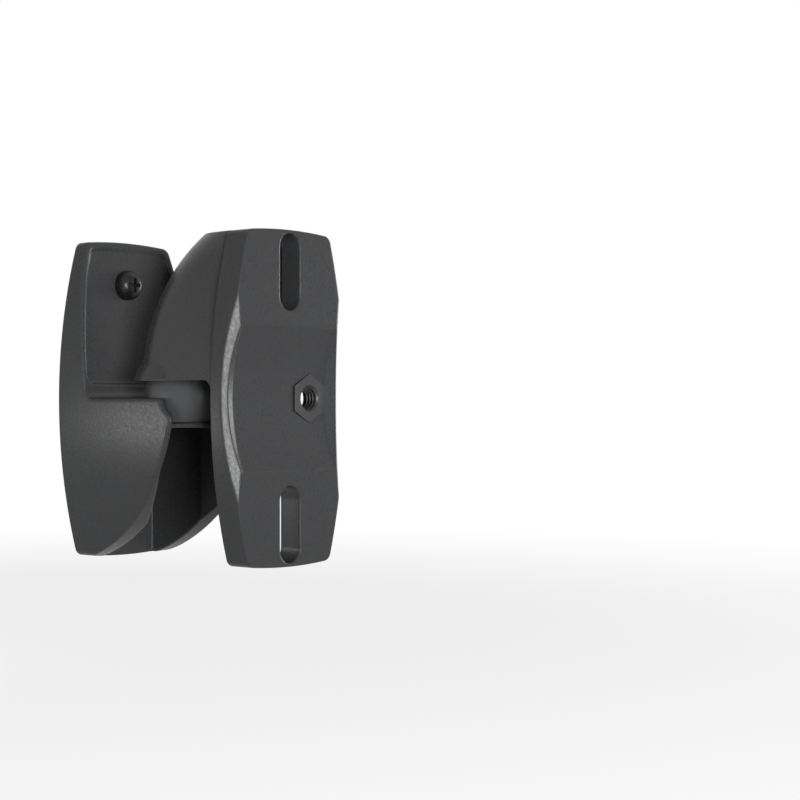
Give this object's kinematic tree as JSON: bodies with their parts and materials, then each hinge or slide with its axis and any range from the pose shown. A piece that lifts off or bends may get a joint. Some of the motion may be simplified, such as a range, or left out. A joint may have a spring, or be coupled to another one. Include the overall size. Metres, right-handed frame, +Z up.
{
  "type": "speaker wall bracket",
  "caption": "Charcoal cast swivel and tilt bracket that carries a small loudspeaker on a wall by a clamped ball joint.",
  "frame": {"origin": "centre of the flat back of the wall plate, on the wall", "axes": "+Y into the wall, -Y towards the speaker, +X to the right seen from the front, +Z up"},
  "size_m": [0.05, 0.1018, 0.101],
  "materials": {
    "housing_coat": "satin powder coat with a fine grain",
    "bracket_coat": "satin powder coat with a fine grain",
    "ball_coat": "smooth satin coat",
    "disc_nylon": "matt",
    "black_steel": "blackened steel"
  },
  "bodies": {
    "wall": {"wall_housing": "housing_coat", "wall_screws": "black_steel", "seat_washer": "disc_nylon"},
    "turret": {"ball": "ball_coat", "clamp_nut": "black_steel", "saddle_washer": "black_steel", "spring_washer": "black_steel", "clamp_bolt": "black_steel"},
    "speaker": {"speaker_bracket": "bracket_coat", "captive_nut": "black_steel"}
  },
  "joints": [
    {"name": "swivel", "type": "hinge", "parent": "wall", "child": "turret", "pos_m": [0, -0.039, 0], "axis": [0, 0, 1], "range_deg": [-60, 60]},
    {"name": "tilt", "type": "hinge", "parent": "turret", "child": "speaker", "pos_m": [0, -0.039, 0], "axis": [1, 0, 0], "range_deg": [-12, 12]}
  ]
}
